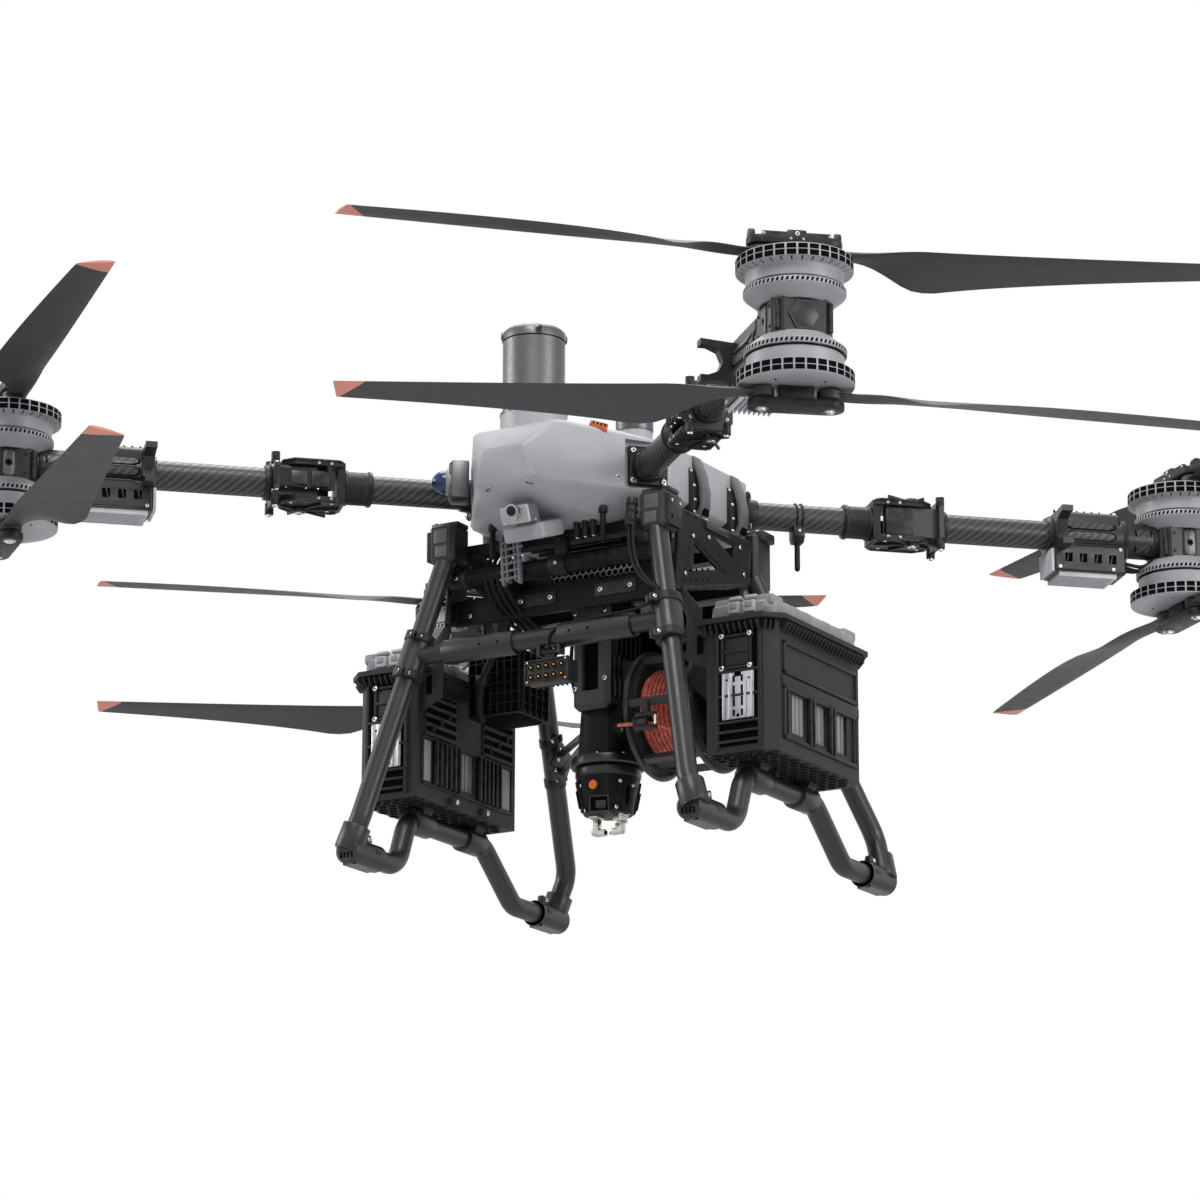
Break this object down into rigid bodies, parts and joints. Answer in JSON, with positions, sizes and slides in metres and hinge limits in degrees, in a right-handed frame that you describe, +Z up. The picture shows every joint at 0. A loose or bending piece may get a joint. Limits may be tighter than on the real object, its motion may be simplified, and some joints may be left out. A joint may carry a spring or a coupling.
{
  "type": "delivery drone with coaxial rotors",
  "caption": "Heavy-lift delivery drone with folding arms, coaxial two-blade folding rotors, twin battery boxes, skid gear and a rope winch with a gated hook.",
  "frame": {"origin": "on the ground, below the centre of the overall box", "axes": "+Z up, -Y the drone's front, +X the drone's left"},
  "size_m": [2.9843, 2.7152, 1],
  "materials": {
    "blade_charcoal": "matte carbon composite",
    "motor_grey": "satin light grey",
    "carbon_black": "satin carbon fibre with black joints",
    "joint_black": "black anodised",
    "shell_grey": "satin light cool grey moulding",
    "canister_grey": "satin mid grey",
    "camera_silver": "bead-blasted silver",
    "frame_black": "black carbon plate",
    "gear_charcoal": "satin charcoal tube",
    "light_black": "satin black",
    "box_charcoal": "matte charcoal moulding",
    "battery_grey": "satin mid grey",
    "winch_black": "satin black",
    "rope_red": "braided coral red rope",
    "hook_nickel": "polished nickel",
    "button_orange": "gloss orange"
  },
  "bodies": {
    "frame": {"fuselage": "shell_grey", "parachute_canister": "canister_grey", "front_camera": "camera_silver", "airframe": "frame_black", "arm_root_front_left": "carbon_black", "arm_root_front_right": "carbon_black", "arm_root_rear_left": "carbon_black", "arm_root_rear_right": "carbon_black", "leg_front_left": "gear_charcoal", "leg_front_right": "gear_charcoal", "leg_rear_left": "gear_charcoal", "leg_rear_right": "gear_charcoal", "skid_left": "gear_charcoal", "skid_right": "gear_charcoal", "crossbar_front": "gear_charcoal", "battery_box_left": "box_charcoal", "battery_box_right": "box_charcoal", "winch_column": "winch_black", "drum_cage": "winch_black", "rope_lead": "rope_red"},
    "arm_front_left": {"arm_front_left": "carbon_black"},
    "arm_front_right": {"arm_front_right": "carbon_black"},
    "arm_rear_left": {"arm_rear_left": "carbon_black"},
    "arm_rear_right": {"arm_rear_right": "carbon_black"},
    "drum": {"winch_drum": "winch_black", "rope_winding": "rope_red"},
    "hook": {"hook_body": "winch_black"},
    "hook_gate": {"hook_gate": "hook_nickel"},
    "release_button": {"release_button": "button_orange"},
    "battery_left": {"battery_left": "battery_grey"},
    "battery_right": {"battery_right": "battery_grey"},
    "spotlight": {"spotlight": "light_black"},
    "arm_latch_front_left": {"arm_latch_front_left": "joint_black"},
    "arm_latch_front_right": {"arm_latch_front_right": "joint_black"},
    "arm_latch_rear_left": {"arm_latch_rear_left": "joint_black"},
    "arm_latch_rear_right": {"arm_latch_rear_right": "joint_black"},
    "rotor_front_left_upper": {"rotor_front_left_upper": "motor_grey"},
    "rotor_front_left_lower": {"rotor_front_left_lower": "motor_grey"},
    "rotor_front_right_upper": {"rotor_front_right_upper": "motor_grey"},
    "rotor_front_right_lower": {"rotor_front_right_lower": "motor_grey"},
    "rotor_rear_left_upper": {"rotor_rear_left_upper": "motor_grey"},
    "rotor_rear_left_lower": {"rotor_rear_left_lower": "motor_grey"},
    "rotor_rear_right_upper": {"rotor_rear_right_upper": "motor_grey"},
    "rotor_rear_right_lower": {"rotor_rear_right_lower": "motor_grey"},
    "blade_front_left_upper_a": {"blade_front_left_upper_a": "blade_charcoal"},
    "blade_front_left_upper_b": {"blade_front_left_upper_b": "blade_charcoal"},
    "blade_front_left_lower_a": {"blade_front_left_lower_a": "blade_charcoal"},
    "blade_front_left_lower_b": {"blade_front_left_lower_b": "blade_charcoal"},
    "blade_front_right_upper_a": {"blade_front_right_upper_a": "blade_charcoal"},
    "blade_front_right_upper_b": {"blade_front_right_upper_b": "blade_charcoal"},
    "blade_front_right_lower_a": {"blade_front_right_lower_a": "blade_charcoal"},
    "blade_front_right_lower_b": {"blade_front_right_lower_b": "blade_charcoal"},
    "blade_rear_left_upper_a": {"blade_rear_left_upper_a": "blade_charcoal"},
    "blade_rear_left_upper_b": {"blade_rear_left_upper_b": "blade_charcoal"},
    "blade_rear_left_lower_a": {"blade_rear_left_lower_a": "blade_charcoal"},
    "blade_rear_left_lower_b": {"blade_rear_left_lower_b": "blade_charcoal"},
    "blade_rear_right_upper_a": {"blade_rear_right_upper_a": "blade_charcoal"},
    "blade_rear_right_upper_b": {"blade_rear_right_upper_b": "blade_charcoal"},
    "blade_rear_right_lower_a": {"blade_rear_right_lower_a": "blade_charcoal"},
    "blade_rear_right_lower_b": {"blade_rear_right_lower_b": "blade_charcoal"}
  },
  "joints": [
    {"name": "arm_front_left_fold", "type": "hinge", "parent": "frame", "child": "arm_front_left", "pos_m": [0.44966, -0.39786, 0.727], "axis": [0, 0, 1], "range_deg": [0, 90]},
    {"name": "arm_front_right_fold", "type": "hinge", "parent": "frame", "child": "arm_front_right", "pos_m": [-0.44966, -0.39786, 0.727], "axis": [0, 0, -1], "range_deg": [0, 90]},
    {"name": "arm_rear_left_fold", "type": "hinge", "parent": "frame", "child": "arm_rear_left", "pos_m": [0.44966, 0.39786, 0.727], "axis": [0, 0, 1], "range_deg": [-90, 0]},
    {"name": "arm_rear_right_fold", "type": "hinge", "parent": "frame", "child": "arm_rear_right", "pos_m": [-0.44966, 0.39786, 0.727], "axis": [0, 0, -1], "range_deg": [-90, 0]},
    {"name": "drum_spin", "type": "hinge", "parent": "frame", "child": "drum", "pos_m": [0.172, 0, 0.2955], "axis": [-1, 0, 0], "range_deg": [0, 137]},
    {"name": "hook_lower", "type": "slide", "parent": "frame", "child": "hook", "axis": [0, 0, -1], "range_m": [0, 0.2012]},
    {"name": "hook_gate_swing", "type": "hinge", "parent": "hook", "child": "hook_gate", "pos_m": [0.026, 0, 0.108], "axis": [0, -1, 0], "range_deg": [0, 70]},
    {"name": "release_button_press", "type": "slide", "parent": "hook", "child": "release_button", "axis": [0, 1, 0], "range_m": [0, 0.003], "stiffness_N_per_m": 800},
    {"name": "battery_left_lift", "type": "slide", "parent": "frame", "child": "battery_left", "axis": [0, 0, 1], "range_m": [0, 0.28]},
    {"name": "battery_right_lift", "type": "slide", "parent": "frame", "child": "battery_right", "axis": [0, 0, 1], "range_m": [0, 0.28]},
    {"name": "spotlight_tilt", "type": "hinge", "parent": "frame", "child": "spotlight", "pos_m": [0.025, -0.25384, 0.374], "axis": [1, 0, 0], "range_deg": [-60, 30]},
    {"name": "arm_latch_front_left_swing", "type": "hinge", "parent": "arm_front_left", "child": "arm_latch_front_left", "pos_m": [0.4381, -0.48974, 0.727], "axis": [0, 0, 1], "range_deg": [0, 75]},
    {"name": "arm_latch_front_right_swing", "type": "hinge", "parent": "arm_front_right", "child": "arm_latch_front_right", "pos_m": [-0.4381, -0.48974, 0.727], "axis": [0, 0, -1], "range_deg": [0, 75]},
    {"name": "arm_latch_rear_left_swing", "type": "hinge", "parent": "arm_rear_left", "child": "arm_latch_rear_left", "pos_m": [0.4381, 0.48974, 0.727], "axis": [0, 0, -1], "range_deg": [0, 75]},
    {"name": "arm_latch_rear_right_swing", "type": "hinge", "parent": "arm_rear_right", "child": "arm_latch_rear_right", "pos_m": [-0.4381, 0.48974, 0.727], "axis": [0, 0, 1], "range_deg": [0, 75]},
    {"name": "rotor_front_left_upper_spin", "type": "hinge", "parent": "arm_front_left", "child": "rotor_front_left_upper", "pos_m": [0.84, -0.8, 0.7163], "axis": [0, 0, 1], "continuous": true},
    {"name": "rotor_front_left_lower_spin", "type": "hinge", "parent": "arm_front_left", "child": "rotor_front_left_lower", "pos_m": [0.84, -0.8, 0.7163], "axis": [0, 0, 1], "continuous": true},
    {"name": "rotor_front_right_upper_spin", "type": "hinge", "parent": "arm_front_right", "child": "rotor_front_right_upper", "pos_m": [-0.84, -0.8, 0.7163], "axis": [0, 0, 1], "continuous": true},
    {"name": "rotor_front_right_lower_spin", "type": "hinge", "parent": "arm_front_right", "child": "rotor_front_right_lower", "pos_m": [-0.84, -0.8, 0.7163], "axis": [0, 0, 1], "continuous": true},
    {"name": "rotor_rear_left_upper_spin", "type": "hinge", "parent": "arm_rear_left", "child": "rotor_rear_left_upper", "pos_m": [0.84, 0.8, 0.7163], "axis": [0, 0, 1], "continuous": true},
    {"name": "rotor_rear_left_lower_spin", "type": "hinge", "parent": "arm_rear_left", "child": "rotor_rear_left_lower", "pos_m": [0.84, 0.8, 0.7163], "axis": [0, 0, 1], "continuous": true},
    {"name": "rotor_rear_right_upper_spin", "type": "hinge", "parent": "arm_rear_right", "child": "rotor_rear_right_upper", "pos_m": [-0.84, 0.8, 0.7163], "axis": [0, 0, 1], "continuous": true},
    {"name": "rotor_rear_right_lower_spin", "type": "hinge", "parent": "arm_rear_right", "child": "rotor_rear_right_lower", "pos_m": [-0.84, 0.8, 0.7163], "axis": [0, 0, 1], "continuous": true},
    {"name": "blade_front_left_upper_a_fold", "type": "hinge", "parent": "rotor_front_left_upper", "child": "blade_front_left_upper_a", "pos_m": [0.88396, -0.7611, 0.8421], "axis": [0, 0, 1], "range_deg": [-90, 90]},
    {"name": "blade_front_left_upper_b_fold", "type": "hinge", "parent": "rotor_front_left_upper", "child": "blade_front_left_upper_b", "pos_m": [0.79604, -0.8389, 0.8421], "axis": [0, 0, 1], "range_deg": [-90, 90]},
    {"name": "blade_front_left_lower_a_fold", "type": "hinge", "parent": "rotor_front_left_lower", "child": "blade_front_left_lower_a", "pos_m": [0.88536, -0.76274, 0.5905], "axis": [0, 0, 1], "range_deg": [-90, 90]},
    {"name": "blade_front_left_lower_b_fold", "type": "hinge", "parent": "rotor_front_left_lower", "child": "blade_front_left_lower_b", "pos_m": [0.79464, -0.83726, 0.5905], "axis": [0, 0, 1], "range_deg": [-90, 90]},
    {"name": "blade_front_right_upper_a_fold", "type": "hinge", "parent": "rotor_front_right_upper", "child": "blade_front_right_upper_a", "pos_m": [-0.7955, -0.83828, 0.8421], "axis": [0, 0, 1], "range_deg": [-90, 90]},
    {"name": "blade_front_right_upper_b_fold", "type": "hinge", "parent": "rotor_front_right_upper", "child": "blade_front_right_upper_b", "pos_m": [-0.8845, -0.76172, 0.8421], "axis": [0, 0, 1], "range_deg": [-90, 90]},
    {"name": "blade_front_right_lower_a_fold", "type": "hinge", "parent": "rotor_front_right_lower", "child": "blade_front_right_lower_a", "pos_m": [-0.79503, -0.83773, 0.5905], "axis": [0, 0, 1], "range_deg": [-90, 90]},
    {"name": "blade_front_right_lower_b_fold", "type": "hinge", "parent": "rotor_front_right_lower", "child": "blade_front_right_lower_b", "pos_m": [-0.88497, -0.76227, 0.5905], "axis": [0, 0, 1], "range_deg": [-90, 90]},
    {"name": "blade_rear_left_upper_a_fold", "type": "hinge", "parent": "rotor_rear_left_upper", "child": "blade_rear_left_upper_a", "pos_m": [0.79318, 0.83541, 0.8421], "axis": [0, 0, 1], "range_deg": [-90, 90]},
    {"name": "blade_rear_left_upper_b_fold", "type": "hinge", "parent": "rotor_rear_left_upper", "child": "blade_rear_left_upper_b", "pos_m": [0.88682, 0.76459, 0.8421], "axis": [0, 0, 1], "range_deg": [-90, 90]},
    {"name": "blade_rear_left_lower_a_fold", "type": "hinge", "parent": "rotor_rear_left_lower", "child": "blade_rear_left_lower_a", "pos_m": [0.79387, 0.8363, 0.5905], "axis": [0, 0, 1], "range_deg": [-90, 90]},
    {"name": "blade_rear_left_lower_b_fold", "type": "hinge", "parent": "rotor_rear_left_lower", "child": "blade_rear_left_lower_b", "pos_m": [0.88613, 0.7637, 0.5905], "axis": [0, 0, 1], "range_deg": [-90, 90]},
    {"name": "blade_rear_right_upper_a_fold", "type": "hinge", "parent": "rotor_rear_right_upper", "child": "blade_rear_right_upper_a", "pos_m": [-0.79168, 0.83333, 0.8421], "axis": [0, 0, 1], "range_deg": [-90, 90]},
    {"name": "blade_rear_right_upper_b_fold", "type": "hinge", "parent": "rotor_rear_right_upper", "child": "blade_rear_right_upper_b", "pos_m": [-0.88832, 0.76667, 0.8421], "axis": [0, 0, 1], "range_deg": [-90, 90]},
    {"name": "blade_rear_right_lower_a_fold", "type": "hinge", "parent": "rotor_rear_right_lower", "child": "blade_rear_right_lower_a", "pos_m": [-0.7982, 0.84122, 0.5905], "axis": [0, 0, 1], "range_deg": [-90, 90]},
    {"name": "blade_rear_right_lower_b_fold", "type": "hinge", "parent": "rotor_rear_right_lower", "child": "blade_rear_right_lower_b", "pos_m": [-0.8818, 0.75878, 0.5905], "axis": [0, 0, 1], "range_deg": [-90, 90]}
  ],
  "couplings": [
    {"joint": "hook_lower", "follows": "drum_spin", "m_per_rad": 0.084}
  ]
}
